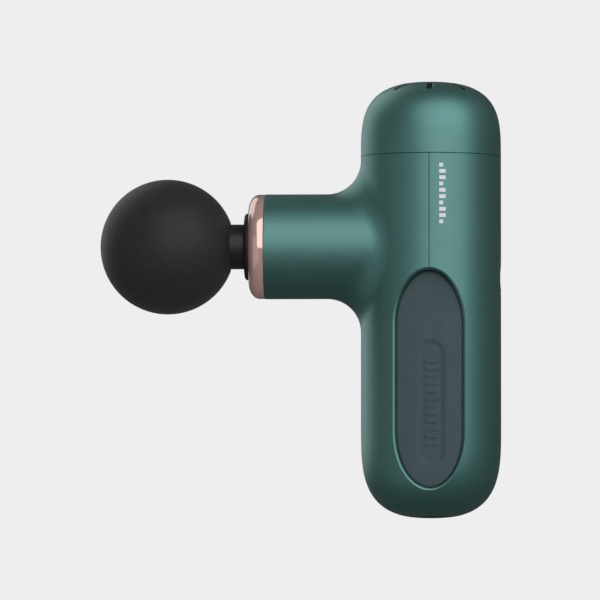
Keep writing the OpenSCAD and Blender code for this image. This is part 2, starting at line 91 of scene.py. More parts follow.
PANEL_Z = (PANEL[1].z + PANEL[0].z) / 2
PANEL_SEAT = -PANEL[1].y
PANEL_CROWN = -PANEL[0].y
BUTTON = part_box("power_button")
BUTTON_R = (BUTTON[1].y - BUTTON[0].y) / 2
BUTTON_Z = (BUTTON[1].z + BUTTON[0].z) / 2

# shape of the domed ends, as in the frame
TOP_DOME = 26 * MM
FOOT_DOME = 32 * MM
DOME_ALONG = 3.75
DOME_ACROSS = 2.65
NECK_BLEND = 11 * MM
PANEL_END = 18 * MM
PANEL_FACE_R = 60 * MM

# opening of the charge port
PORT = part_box("usb_socket")
PORT_W = PORT[1].x - PORT[0].x
PORT_H = PORT[1].y - PORT[0].y

# details that are finer than the frame
EDGE_R = 0.16 * MM       # rounded edges along the seams
EDGE_STEPS = [EDGE_R * k for k in (0, 0.06, 0.18, 0.36, 0.6, 1.0)]
FOOT_SEAM = 0.12         # share of the seam's width that is left below the grip panels
PANEL_GAP = 0.15 * MM    # round each grip panel
RIM_W = 0.85 * MM        # width of the soft rim of a grip recess
CORE_R = 12 * MM         # cutters that go through the wall start here, inside the handle
CUT_CLEAR = 1 * MM       # and end this far outside it


# ---- mesh building ----

def link(name, mesh):
    """Puts a mesh in the scene as an object."""
    piece = bpy.data.objects.new(name, mesh)
    bpy.context.scene.collection.objects.link(piece)
    return piece


def outward(mesh):
    """Turns all faces of a closed mesh outwards."""
    work = bmesh.new()
    work.from_mesh(mesh)
    bmesh.ops.recalc_face_normals(work, faces=work.faces)
    work.to_mesh(mesh)
    work.free()


class Sheets:
    """Collects grids of points and the faces between them into one mesh."""

    def __init__(self):
        self.points = []
        self.faces = []

    def grid(self, points):
        """Adds rows x columns of points and returns their indices."""
        points = np.asarray(points, float)
        rows, cols = points.shape[:2]
        start = len(self.points)
        self.points.extend(points.reshape(-1, 3).tolist())
        return np.arange(start, start + rows * cols).reshape(rows, cols)

    def join(self, a, b, closed=False):
        """Faces between two lines of indices."""
        n = len(a)
        for i in range(n if closed else n - 1):
            k = (i + 1) % n
            quad = [a[i], a[k], b[k], b[i]]
            self.faces.append([int(q) for j, q in enumerate(quad) if q != quad[j - 1]])

    def skin(self, index, closed=False):
        """Faces over a grid of indices; closed joins the last column to the first."""
        for a, b in zip(index[:-1], index[1:]):
            self.join(a, b, closed)

    def close(self, ring, point):
        """A fan of faces between a ring of indices and a middle point."""
        middle = self.grid([[point]])[0, 0]
        self.join(ring, np.full(len(ring), middle), closed=True)

    def piece(self, name):
        mesh = bpy.data.meshes.new(name)
        mesh.from_pydata(self.points, [], [f for f in self.faces if len(set(f)) > 2])
        mesh.validate()
        outward(mesh)
        return link(name, mesh)


def lathe(name, outline, axis="Z", centre=(0, 0, 0), segments=192, closed=True):
    """Turns an outline of [radius, height] points about an axis. An open outline ends on the axis."""
    turns = np.linspace(0, 2 * math.pi, segments, endpoint=False)
    sheets = Sheets()
    lines = []
    for radius, height in outline:
        ring = [(radius * math.cos(t), radius * math.sin(t), height) for t in turns]
        if radius < 1e-9:
            lines.append(np.full(segments, sheets.grid([[ring[0]]])[0, 0]))
        else:
            lines.append(sheets.grid([ring])[0])
    if closed:
        lines.append(lines[0])
    for a, b in zip(lines[:-1], lines[1:]):
        sheets.join(a, b, closed=True)
    sheets.points = place(sheets.points, axis, centre)
    return sheets.piece(name)


def place(points, axis, centre):
    """Turns points about Z to points about NECK, which is -X and runs out of the neck, or about X."""
    p = np.asarray(points, float)
    if axis == "NECK":
        p = np.stack([-p[:, 2], p[:, 0], p[:, 1]], 1)
    elif axis == "X":
        p = np.stack([p[:, 2], p[:, 0], p[:, 1]], 1)
    return (p + np.asarray(centre, float)).tolist()


def rounded(points, radius, steps=5):
    """An outline with each [x, y, r] corner replaced by an arc of that radius, or by the default."""
    out = []
    n = len(points)
    for i, point in enumerate(points):
        r = point[2] if len(point) > 2 else radius
        here = np.array(point[:2], float)
        back = np.array(points[i - 1][:2], float) - here
        ahead = np.array(points[(i + 1) % n][:2], float) - here
        lb, la = np.linalg.norm(back), np.linalg.norm(ahead)
        if r <= 0 or lb < 1e-12 or la < 1e-12:
            out.append(here)
            continue
        back, ahead = back / lb, ahead / la
        half = math.acos(max(-1, min(1, float(back @ ahead)))) / 2
        if half > math.pi / 2 - 0.02:      # nearly straight
            out.append(here)
            continue
        reach = min(r / math.tan(half), lb * 0.49, la * 0.49)   # arcs on one side never meet
        r = reach * math.tan(half)
        middle = (back + ahead) / np.linalg.norm(back + ahead)
        centre = here + middle * (r / math.sin(half))
        start, end = here + back * reach - centre, here + ahead * reach - centre
        sweep = math.acos(max(-1, min(1, float(start @ end) / (r * r))))
        for k in range(steps + 1):
            t = k / steps
            blend = (math.sin((1 - t) * sweep) * start + math.sin(t * sweep) * end) / math.sin(sweep)
            out.append(centre + blend)
    return [list(p) for p in out]


def combine(piece, other, how):
    """Boolean of two closed pieces; the second one is used up."""
    step = piece.modifiers.new(how, "BOOLEAN")
    step.operation = how
    step.solver = "MANIFOLD"
    step.object = other
    scene_now = bpy.context.evaluated_depsgraph_get()
    mesh = bpy.data.meshes.new_from_object(piece.evaluated_get(scene_now))
    piece.modifiers.clear()
    old = piece.data
    piece.data = mesh
    bpy.data.meshes.remove(old)
    bpy.data.objects.remove(other)
    return piece


def shade(piece, sharp=32):
    """Smooth shading with sharp edges above an angle in degrees."""
    piece.data.shade_smooth()
    piece.data.set_sharp_from_angle(angle=math.radians(sharp))
    return piece


def shade_true(piece, normal_at, near=14):
    """Smooth shading that takes the normals of the true surface wherever a face lies along it."""
    shade(piece)
    mesh = piece.data
    count = len(mesh.vertices)
    points = np.empty(count * 3, np.float32)
    mesh.vertices.foreach_get("co", points)
    true = normal_at(points.reshape(-1, 3).astype(float))
    corner_vertex = np.empty(len(mesh.loops), np.int32)
    mesh.loops.foreach_get("vertex_index", corner_vertex)
    corners = np.empty(len(mesh.loops) * 3, np.float32)
    mesh.corner_normals.foreach_get("vector", corners)
    corners = corners.reshape(-1, 3)
    sizes = np.empty(len(mesh.polygons), np.int32)
    mesh.polygons.foreach_get("loop_total", sizes)
    flat = np.empty(len(mesh.polygons) * 3, np.float32)
    mesh.polygons.foreach_get("normal", flat)
    flat = np.repeat(flat.reshape(-1, 3), sizes, axis=0)
    wanted = true[corner_vertex]
    along = (wanted * flat).sum(1) > math.cos(math.radians(near))
    corners[along] = wanted[along]
    mesh.normals_split_custom_set(corners.tolist())
    return piece


# ---- the handle's surface ----

TOP_CENTRE = BODY_TOP - TOP_DOME
FOOT_CENTRE = FOOT_Z + FOOT_DOME


def dome_point(turn, inset, top):
    """[radius, height] on a domed end; turn runs from 0 on the axis to 90 degrees at the side."""
    radius = (BODY_R - inset) * math.sin(turn) ** (2 / DOME_ACROSS)
    rise = math.cos(turn) ** (2 / DOME_ALONG) if turn < math.pi / 2 else 0
    if top:
        return radius, TOP_CENTRE + (TOP_DOME - inset) * rise
    return radius, FOOT_CENTRE - (FOOT_DOME - inset) * rise


def surface_radius(z):
    """Radius of the handle's outside at a height."""
    rise = 0.0
    if z > TOP_CENTRE:
        rise = (z - TOP_CENTRE) / TOP_DOME
    elif z < FOOT_CENTRE:
        rise = (FOOT_CENTRE - z) / FOOT_DOME
    return BODY_R * max(0.0, 1 - min(1.0, rise) ** DOME_ALONG) ** (1 / DOME_ACROSS)


def handle_normal(p):
    """Outward normals of the handle's surface at points near it."""
    across = np.hypot(p[:, 0], p[:, 1])
    side = p[:, 2]
    rise = np.where(side > TOP_CENTRE, (side - TOP_CENTRE) / TOP_DOME, 0)
    fall = np.where(side < FOOT_CENTRE, (FOOT_CENTRE - side) / FOOT_DOME, 0)
    out = DOME_ACROSS * np.clip(across / BODY_R, 0, 1) ** (DOME_ACROSS - 1) / BODY_R
    up = DOME_ALONG * np.clip(rise, 0, 1) ** (DOME_ALONG - 1) / TOP_DOME
    down = DOME_ALONG * np.clip(fall, 0, 1) ** (DOME_ALONG - 1) / FOOT_DOME
    safe = np.maximum(across, 1e-9)
    n = np.stack([out * p[:, 0] / safe, out * p[:, 1] / safe, up - down], 1)
    return n / np.maximum(np.linalg.norm(n, axis=1), 1e-12)[:, None]


def blend_centres(turn):
    """Centres of the rolling ball between neck and handle, for turns round the neck's axis."""
    reach = NECK_R + NECK_BLEND
    y, z = reach * np.cos(turn), reach * np.sin(turn)
    x = -np.sqrt((BODY_R + NECK_BLEND) ** 2 - y ** 2)
    return np.stack([x, y, z + NECK_Z], -1)


def front_normal(p):
    """Outward normals of the front shell, whichever of its three surfaces each point lies on."""
    body = handle_normal(p)
    body_off = np.abs(np.hypot(p[:, 0], p[:, 1]) - np.array([surface_radius(z) for z in p[:, 2]]))
    body_off[p[:, 0] < -BODY_R - 1e-6] = 1
    away = p - np.array([0, 0, NECK_Z])
    radius = np.hypot(away[:, 1], away[:, 2])
    neck = np.stack([np.zeros(len(p)), away[:, 1] / radius, away[:, 2] / radius], 1)
    neck_off = np.abs(radius - NECK_R)
    track = blend_centres(np.radians(np.arange(0, 360, 0.5)))
    blend = neck.copy()
    blend_off = np.full(len(p), 1.0)
    for start in range(0, len(p), 4000):
        part = p[start:start + 4000]
        gaps = np.linalg.norm(part[:, None, :] - track[None, :, :], axis=2)
        nearest = gaps.argmin(1)
        least = gaps[np.arange(len(part)), nearest]
        blend[start:start + 4000] = (track[nearest] - part) / least[:, None]
        blend_off[start:start + 4000] = np.abs(least - NECK_BLEND)
    contact = -blend_centres(np.arctan2(away[:, 2], away[:, 1]))[:, 0]
    on_neck = (neck_off < blend_off + 1e-5) & (-p[:, 0] > contact)
    on_body = (body_off < blend_off - 1e-6) & ~on_neck
    out = blend
    out[on_body] = body[on_body]
    out[on_neck] = neck[on_neck]
    return out


# ---- shells ----

def seam_round(t, radius):
    """How far a rounded edge lies below the surface at a distance t from the seam."""
    return radius - math.sqrt(max(0.0, radius ** 2 - (radius - min(t, radius)) ** 2))


def half_shell(name, side):
    """One half of the handle below the cap, with rounded edges along its seams."""
    dome_rows, wall_rows, columns = 60, 90, 131
    last_regular = 0.5 * MM                      # distance of the last regular row from the seam
    seam = SEAM_Z - SEAM_GAP / 2
    panel_foot = PANEL_Z - PANEL_HL
    hole = math.asin((BEZEL_R / BODY_R + 0.002) ** (DOME_ACROSS / 2))
    turns = hole + (math.pi / 2 - hole) * np.linspace(0, 1, dome_rows)
    heights = list(np.linspace(FOOT_CENTRE + last_regular, seam - last_regular, wall_rows))
    heights += [seam - t for t in reversed(EDGE_STEPS)]
    regular = np.radians(np.linspace(-87.5, 87.5, columns))

    def row_at(index, inset):
        if index < len(turns):
            return dome_point(turns[index], inset, top=False)
        return BODY_R - inset, heights[index - len(turns)]

    def sheet(deep):
        rows = []
        for i in range(len(turns) + len(heights)):
            base_z = row_at(i, 0)[1]
            fine = EDGE_R if base_z > panel_foot else EDGE_R * FOOT_SEAM
            gap = SEAM_GAP / 2 if base_z > panel_foot else SEAM_GAP * FOOT_SEAM
            top_inset = seam_round(seam - base_z, EDGE_R)
            line = []
            for sign, steps in ((-1, EDGE_STEPS), (1, list(reversed(EDGE_STEPS)))):
                for t in steps:
                    side_inset = seam_round(t * fine / EDGE_R, fine)
                    r, z = row_at(i, WALL if deep else max(top_inset, side_inset))
                    x = gap + t
                    line.append((side * x, sign * math.sqrt(r * r - x * x), z))
                if sign < 0:
                    r, z = row_at(i, WALL if deep else top_inset)
                    line += [(side * r * math.cos(a), r * math.sin(a), z) for a in regular]
            rows.append(line)
        return rows

    sheets = Sheets()
    outer = sheets.grid(sheet(False))
    inner = sheets.grid(sheet(True))
    sheets.skin(outer)
    sheets.skin(inner)
    for a, b in ((outer[0], inner[0]), (outer[-1], inner[-1]), (outer[:, 0], inner[:, 0]),
                 (outer[:, -1], inner[:, -1])):
        sheets.join(a, b)
    return sheets.piece(name)


def neck_tube():
    """The neck and its rolling-ball blend into the handle, as a closed ring about the neck's axis."""
    sides, blend_steps, neck_steps, lip_steps = 224, 30, 12, 5
    bore = NECK_R - WALL
    lip = 0.22 * MM                              # rounding of the neck's front edge
    dip = 0.02 * MM                              # how far the blend's end sinks into the handle
    root = -BODY_R * 0.55                        # where the tube ends inside the handle
    front = [(NECK_FRONT, bore)]
    for k in range(lip_steps, -1, -1):
        a = math.pi / 2 * k / lip_steps
        front.append((NECK_FRONT + lip * (1 - math.sin(a)), NECK_R - lip * (1 - math.cos(a))))
    axis = np.array([0, 0, NECK_Z])
    rows = []
    for i in range(sides):
        a = 2 * math.pi * i / sides
        c = blend_centres(np.array(a))
        out = np.array([0, math.cos(a), math.sin(a)])
        to_neck = -out
        to_body = np.array([-c[0], -c[1], 0]) / (BODY_R + NECK_BLEND)
        sweep = math.acos(to_neck @ to_body)
        line = [axis + np.array([x, 0, 0]) + out * r for x, r in front]
        x = line[-1][0]
        line += [axis + out * NECK_R + np.array([x + (c[0] - x) * k / neck_steps, 0, 0])
                 for k in range(1, neck_steps)]
        for k in range(blend_steps + 1):
            t = k / blend_steps
            sunk = dip if k == blend_steps else 0
            ray = (math.sin((1 - t) * sweep) * to_neck + math.sin(t * sweep) * to_body) / math.sin(sweep)
            line.append(c + (NECK_BLEND + sunk) * ray)
        last = line[-1]
        line.append(last - np.array([last[0], last[1], 0]) * (WALL * 0.5 / BODY_R))
        line.append(axis + np.array([root, 0, 0]) + out * bore)
        rows.append(line)
    sheets = Sheets()
    index = sheets.grid(rows)
    index = np.vstack([index, index[:1]])
    sheets.skin(index, closed=True)
    return sheets.piece("neck_tube")


def panel_line(grow, count=40):
    """Outline of a grip panel grown by a distance, as [x, z] points."""
    width, end, straight = PANEL_HW + grow, PANEL_END + grow, PANEL_HL - PANEL_END
    turns = np.linspace(0, math.pi, count + 1)
    top = [(width * math.cos(a), straight + end * math.sin(a)) for a in turns]
    left = [(-width, straight * (1 - 2 * t)) for t in np.linspace(0, 1, count + 1)[1:-1]]
    half = top + left
    line = half + [(-x, -z) for x, z in half]
    return np.array([(x, PANEL_Z + z) for x, z in line])


def recess_cutter(side):
    """Cuts a grip panel's recess with a soft bevelled rim that follows the handle's surface."""
    # growth of the outline and depth below the surface in rim widths, from outside inwards
    rim = [(2.0, -0.5), (1.0, 0.0), (0.86, 0.1), (0.55, 0.38), (0.24, 0.72), (0.1, 0.94), (0.03, 1.2),
           (0, 1.5)]
    high, seat = side * (BODY_R + 3 * MM), side * PANEL_SEAT
    rows = []
    for grow, depth in rim:
        line = panel_line(PANEL_GAP + grow * RIM_W)
        rows.append([(x, side * (math.sqrt(surface_radius(z) ** 2 - x * x) - depth * RIM_W), z)
                     for x, z in line])
    rows.append([(x, seat, z) for x, z in panel_line(PANEL_GAP)])
    rows.insert(0, [(x, high, z) for x, y, z in rows[0]])
    sheets = Sheets()
    index = sheets.grid(rows)
    sheets.skin(index, closed=True)
    for ring, y in ((index[0], high), (index[-1], seat)):
        sheets.close(ring, (0, y, PANEL_Z))
    return sheets.piece("recess_cutter")


def bed(side):
    """The thick seat behind a grip panel, which closes the recess inside the shell."""
    back = side * (PANEL_SEAT - 2 * MM)
    crown = side * (PANEL_SEAT + 1.6 * MM)
    line = panel_line(1.5 * MM)
    sheets = Sheets()
    deep = sheets.grid([[(x, back, z) for x, z in line]])[0]
    high = sheets.grid([[(x, side * (math.sqrt(surface_radius(z) ** 2 - x * x) - WALL * 0.5), z)
                         for x, z in line]])[0]
    sheets.join(deep, high, closed=True)
    for ring, y in ((deep, back), (high, crown)):
        sheets.close(ring, (0, y, PANEL_Z))
    return sheets.piece("bed")


def half_space(side):
    """A block that fills the far side of the parting plane."""
    far = 0.2
    near = side * SEAM_GAP * FOOT_SEAM
    sheets = Sheets()
    index = [sheets.grid([[(x, y, z) for y, z in ((-far, -far), (far, -far), (far, far), (-far, far))]])[0]
             for x in (near, -side * far)]
    sheets.join(index[0], index[1], closed=True)
    sheets.faces += [[int(i) for i in ring] for ring in index]
    return sheets.piece("half_space")


def rod(name, start, end, radius, axis, centre, segments=96):
    """A round bar for cutting."""
    outline = [(0, start), (radius, start), (radius, end), (0, end)]
    return lathe(name, outline, axis, centre, segments, closed=False)


def cut_recess(shell, side, half):
    """Adds the seat of a grip panel to one half of the handle, and cuts the panel's recess."""
    seat = combine(bed(side), half_space(half), "DIFFERENCE")
    return combine(combine(shell, seat, "UNION"), recess_cutter(side), "DIFFERENCE")


def make_front_shell():
    """Front half of the handle with the neck."""
    shell = half_shell("front_shell_skin", -1)
    shell = combine(shell, neck_tube(), "UNION")
    bore_end = -NECK_FRONT + 5 * MM
    bore = rod("bore", CORE_R, bore_end, NECK_R - WALL, "NECK", (0, 0, NECK_Z), 192)
    shell = combine(shell, bore, "DIFFERENCE")
    for side in (-1, 1):
        shell = cut_recess(shell, side, -1)
    return shade_true(shell, front_normal)


def make_rear_shell():
    """Rear half of the handle, with the holes of the button and the battery lights."""
    shell = half_shell("rear_shell_skin", 1)
    for side in (-1, 1):
        shell = cut_recess(shell, side, 1)
    hole = BUTTON_R + 0.2 * MM
    bevel_out, bevel_in = 0.15 * MM, 0.2 * MM
    light_r = 0.82 * MM
    high = BODY_R + CUT_CLEAR
    outline = [(0, CORE_R), (hole, CORE_R), (hole, BODY_R - bevel_in), (hole + bevel_out, BODY_R),
               (hole + bevel_out, high), (0, high)]
    cutter = lathe("button_cutter", outline, "X", (0, 0, BUTTON_Z), 128, closed=False)
    shell = combine(shell, cutter, "DIFFERENCE")
    for z in light_heights():
        shell = combine(shell, rod("light_cutter", CORE_R, high, light_r, "X", (0, 0, z), 48), "DIFFERENCE")
    return shade_true(shell, handle_normal)


def light_heights():
    """Heights of the battery lights, found as separate clusters in the frame's light windows."""
    gap, window = 0.15 * MM, 1.2 * MM
    heights = sorted(v.co.z for v in frame["nodes"]["led_windows"].data.vertices)
    groups = [[heights[0]]]
    for z in heights[1:]:
        if z - groups[-1][-1] > gap and z - groups[-1][0] > window:
            groups.append([])
        groups[-1].append(z)
    return [(min(g) + max(g)) / 2 for g in groups]


def make_top_cap():
    """The domed cap: rounded lower edge, lip that goes into the shells, and a ring of slots."""
    dome_steps, inside_steps = 70, 40
    bottom = SEAM_Z + SEAM_GAP / 2
    lip_r = BODY_R - WALL - 0.15 * MM
    lip_wall, lip_drop, lip_bevel = 1.45 * MM, 3 * MM, 0.2 * MM
    level = (bottom - TOP_CENTRE) / TOP_DOME
    start = math.acos(level ** (DOME_ALONG / 2))
    outline = [(BODY_R - seam_round(t, EDGE_R), bottom + t) for t in EDGE_STEPS]
    dome = [dome_point(start * k / dome_steps, 0, top=True) for k in range(dome_steps - 1, -1, -1)]
    outline += [(r, z) for r, z in dome if z > bottom + 0.3 * MM]
    inside = [dome_point(start * k / inside_steps, WALL, top=True) for k in range(inside_steps)]
    outline += [(r, z) for r, z in inside if z > bottom + 1.5 * MM]
    lip_end = bottom - lip_drop
    outline += [(lip_r - lip_wall, bottom + 1.4 * MM), (lip_r - lip_wall, lip_end),
                (lip_r - lip_bevel, lip_end), (lip_r, lip_end + lip_bevel), (lip_r, bottom)]
    cap = lathe("top_cap_skin", outline, segments=256)
    slots, slot_w, slot_in, slot_out = 8, 1.5 * MM, 8.6 * MM, 16.2 * MM
    for k in range(slots):
        turn = 2 * math.pi * k / slots - math.pi / 2
        cap = combine(cap, vent_cutter(turn, slot_w, slot_in, slot_out), "DIFFERENCE")
    return shade_true(cap, handle_normal)


def vent_cutter(turn, width, inner, outer):
    """An upright slot with round ends and a bevelled mouth, along a radius of the cap."""
    radius = width / 2
    ends = [(outer - radius, np.linspace(-math.pi / 2, math.pi / 2, 13)),
            (inner + radius, np.linspace(math.pi / 2, 3 * math.pi / 2, 13))]
    along = np.array([math.cos(turn), math.sin(turn)])
    across = np.array([-math.sin(turn), math.cos(turn)])

    def ring(grow, sink, level=None):
        line = []
        for middle, angles in ends:
            for a in angles:
                flat = (along * (middle + (radius + grow) * math.cos(a))
                        + across * (radius + grow) * math.sin(a))
                line.append((flat[0], flat[1], level or cap_height(np.hypot(*flat)) - sink))
        return line

    high = BODY_TOP + 2 * MM
    low = SEAM_Z + 4 * MM
    under = 0.9 * MM             # the slot is wider below its thin lip
    flare = 0.5 * MM             # and widens above the surface
    rows = [ring(under, 0, low), ring(under, 0.6 * MM), ring(0, 0.5 * MM), ring(0, 0.14 * MM),
            ring(0.04 * MM, 0.04 * MM), ring(0.12 * MM, 0), ring(flare, -0.3 * MM), ring(flare, 0, high)]
    sheets = Sheets()
    index = sheets.grid(rows)
    sheets.skin(index, closed=True)
    middle = along * (inner + outer) / 2
    for ring_index, z in ((index[0], low), (index[-1], high)):
        sheets.close(ring_index, (middle[0], middle[1], z))
    return sheets.piece("vent_cutter")


def cap_height(radius):
    """Height of the cap's outside at a distance from the axis."""
    return TOP_CENTRE + TOP_DOME * max(0, 1 - (radius / BODY_R) ** DOME_ACROSS) ** (1 / DOME_ALONG)


# ---- grip panels ----

DISH_HW = 5 * MM         # half the dish's width and length
DISH_HL = 21 * MM
DISH_X = 0.5 * MM
DISH_Z = PANEL_Z - 7.7 * MM
DISH_DEPTH = 0.7 * MM
DISH_EDGE = 2.0 * MM     # over which the dish slopes down
BAR_COUNT = 12           # raised bars in the dish
BAR_PITCH = 2.45 * MM
BAR_HW = 1.6 * MM
BAR_HH = 0.68 * MM
BAR_EDGE = 0.36 * MM
BAR_RISE = 0.32 * MM
PANEL_EDGE = 0.75 * MM   # rounding of the panel's outline


def smoothstep(t):
    """A soft step from 0 to 1."""
    t = np.clip(t, 0, 1)
    return t * t * (3 - 2 * t)


def panel_face(x, z, rim):
    """Depth of a panel's face towards the axis at a point; rim is its distance from the outline."""
    face = PANEL_CROWN - (PANEL_FACE_R - np.sqrt(PANEL_FACE_R ** 2 - x ** 2))
    t = np.clip(rim / PANEL_EDGE, 0, 1)
    face = face - PANEL_EDGE * (1 - np.sqrt(np.clip(1 - (1 - t) ** 2, 0, 1)))
    straight = DISH_HL - DISH_HW
    across = np.abs(x - DISH_X)
    gap = np.hypot(across, np.maximum(np.abs(z - DISH_Z) - straight, 0))
    face = face - DISH_DEPTH * smoothstep((DISH_HW - gap) / DISH_EDGE)
    first = DISH_Z + BAR_PITCH * (BAR_COUNT - 1) / 2
    for k in range(BAR_COUNT):
        bar = np.hypot(np.maximum(across - BAR_HW, 0), z - (first - BAR_PITCH * k))
        face = face + BAR_RISE * smoothstep((BAR_HH - bar) / BAR_EDGE)
    return face


def make_panel(name, side):
    """A silicone grip panel: crowned face, rounded edge, shallow dish with short raised bars."""
    edge_rims = [r * MM for r in (0, 0.02, 0.06, 0.12, 0.2, 0.3, 0.42, 0.56, 0.72, 0.9)]
    rims = edge_rims + list(np.linspace(1.1 * MM, PANEL_HW, 66))
    straight = PANEL_HL - PANEL_END
    turns = np.linspace(0, math.pi, 97)
    rows = []
    for rim in rims:
        width, end = PANEL_HW - rim, max(PANEL_END - rim * PANEL_END / PANEL_HW, 0)
        top = [(width * math.cos(a), straight + end * math.sin(a)) for a in turns]
        left = [(-width, straight * (1 - 2 * t)) for t in np.linspace(0, 1, 141)[1:-1]]
        line = np.array(top + left + [(-x, -z) for x, z in top] + [(-x, -z) for x, z in left])
        x, z = line[:, 0], line[:, 1] + PANEL_Z
        y = side * panel_face(x, z, rim)
        rows.append(np.stack([x, y, z], 1))
    sheets = Sheets()
    back = rows[0].copy()
    back[:, 1] = side * PANEL_SEAT
    index = sheets.grid([back] + rows)
    sheets.skin(index, closed=True)
    inner_back = back.copy()
    inner_back[:, 0] = 0
    inner_back[:, 2] = PANEL_Z + np.clip(back[:, 2] - PANEL_Z, -straight, straight)
    middle = sheets.grid([inner_back])[0]
    sheets.join(index[0], middle, closed=True)
    piece = sheets.piece(name)
    weld(piece)
    return shade(piece, 60)


def weld(piece, distance=0.001 * MM):
    """Joins points that lie on each other, where a grid closes on a line."""
    work = bmesh.new()
    work.from_mesh(piece.data)
    bmesh.ops.remove_doubles(work, verts=work.verts, dist=distance)
    bmesh.ops.recalc_face_normals(work, faces=work.faces)
    work.to_mesh(piece.data)
    work.free()
    return piece


# ---- nose, seal and head ----

CORE_STEM_R = STEM_R - 1.3 * MM      # the stem's thin end inside the ball
CORE_STEM_IN = 4 * MM                # how far it goes past the ball's centre
SOCKET_IN = 4 * MM                   # how deep the collar sits in the ball


def make_nose_ring():
    """Plated ring: short skirt, large rounded front corner and a rolled mouth."""
    outer = NECK_R - 0.1 * MM
    mouth = SEAL_R + 0.02 * MM
    back = -NECK_FRONT + 0.04 * MM
    front = -RING_FRONT
    corner_in, corner_back = 5 * MM, 3.5 * MM
    roll = 0.5 * MM
    bevel = 0.16 * MM
    mouth_len, bore_len = 1.6 * MM, 3 * MM
    outline = [(NECK_R - WALL, back), (outer - bevel, back), (outer - 0.05 * MM, back + 0.05 * MM),
               (outer, back + bevel)]
    for k in range(41):
        a = math.pi / 2 * k / 40
        outline.append((outer - corner_in * (1 - math.cos(a)), front - corner_back * (1 - math.sin(a))))
    for k in range(1, 11):
        a = math.pi / 2 * k / 10
        outline.append((mouth + roll * (1 - math.sin(a)), front - roll * (1 - math.cos(a))))
    outline += [(mouth, front - mouth_len), (mouth + 1.4 * MM, front - bore_len)]
    return shade(lathe("nose_ring_plated", outline, "NECK", (0, 0, NECK_Z), 256), 50)


def make_dust_seal():
    """Moulded rubber seal: a rounded bead that stands out of the ring, and a lip round the stem."""
    front, back = -SEAL[0].x, -SEAL[1].x
    socket = STEM_R + 1.4 * MM
    lip = STEM_R + 0.35 * MM
    outline = rounded([
        (SEAL_R - 0.1 * MM, back), (socket, back), (socket, front - 3.1 * MM), (lip, front - 2.3 * MM),
        (lip, front - 0.9 * MM), (lip + 0.7 * MM, front - 0.75 * MM), (SEAL_R - 1.9 * MM, front, 0.6 * MM),
        (SEAL_R - 0.55 * MM, front - 0.2 * MM, 0.4 * MM), (SEAL_R, front - 0.8 * MM, 0.4 * MM),
        (SEAL_R, front - 2.6 * MM)], 0.2 * MM)
    return shade(lathe("dust_seal_moulded", outline, "NECK", (0, 0, NECK_Z), 192), 50)


def make_ball():
    """Foam ball, slightly rolled in where the stem enters it, over a blind bore."""
    reach = -BALL_X
    bore, bore_end = CORE_STEM_R, reach + CORE_STEM_IN
    socket_end = reach - BALL_R + SOCKET_IN
    roll = 0.8 * MM
    roll_steps, ball_steps = 8, 149
    start = math.asin((STEM_R + roll) / BALL_R)
    mouth = reach - BALL_R * math.cos(start)
    outline = [(0, bore_end), (bore, bore_end), (bore, socket_end), (STEM_R, socket_end)]
    for k in range(roll_steps + 1):
        a = math.pi / 2 * k / roll_steps
        outline.append((STEM_R + roll * (1 - math.cos(a)), mouth + roll * (1 - math.sin(a)) * 0.9))
    for k in range(1, ball_steps):
        a = start + (math.pi - start) * k / ball_steps
        outline.append((BALL_R * math.sin(a), reach - BALL_R * math.cos(a)))
    outline.append((0, reach + BALL_R))
    ball = lathe("massage_ball_foam", outline, "NECK", (0, 0, NECK_Z), 256, closed=False)
    return shade(ball, 45)


def make_stem():
    """The head's stem: plug with its O-ring groove, collar with a softened edge, and core."""
    front = 60 * MM              # where the collar meets the piston
    plug_r, plug_len = 5 * MM, 20 * MM
    groove_r = plug_r - 1.6 * MM
    groove_back, groove_front = front - 6.8 * MM, front - 5.2 * MM
    shoulder = front + 0.05 * MM
    core_end = -BALL_X + CORE_STEM_IN
    collar_end = -BALL_X - BALL_R + SOCKET_IN
    outline = rounded([
        (0, front - plug_len, 0), (plug_r, front - plug_len, 0.6 * MM), (plug_r, groove_back, 0),
        (groove_r, groove_back, 0), (groove_r, groove_front, 0), (plug_r, groove_front, 0),
        (plug_r, shoulder, 0), (STEM_R, shoulder, 0.25 * MM), (STEM_R, collar_end, 0),
        (CORE_STEM_R, collar_end, 0), (CORE_STEM_R, core_end, 0), (0, core_end, 0)], 0)
    return shade(lathe("head_stem_moulded", outline, "NECK", (0, 0, NECK_Z), 160, closed=False), 40)


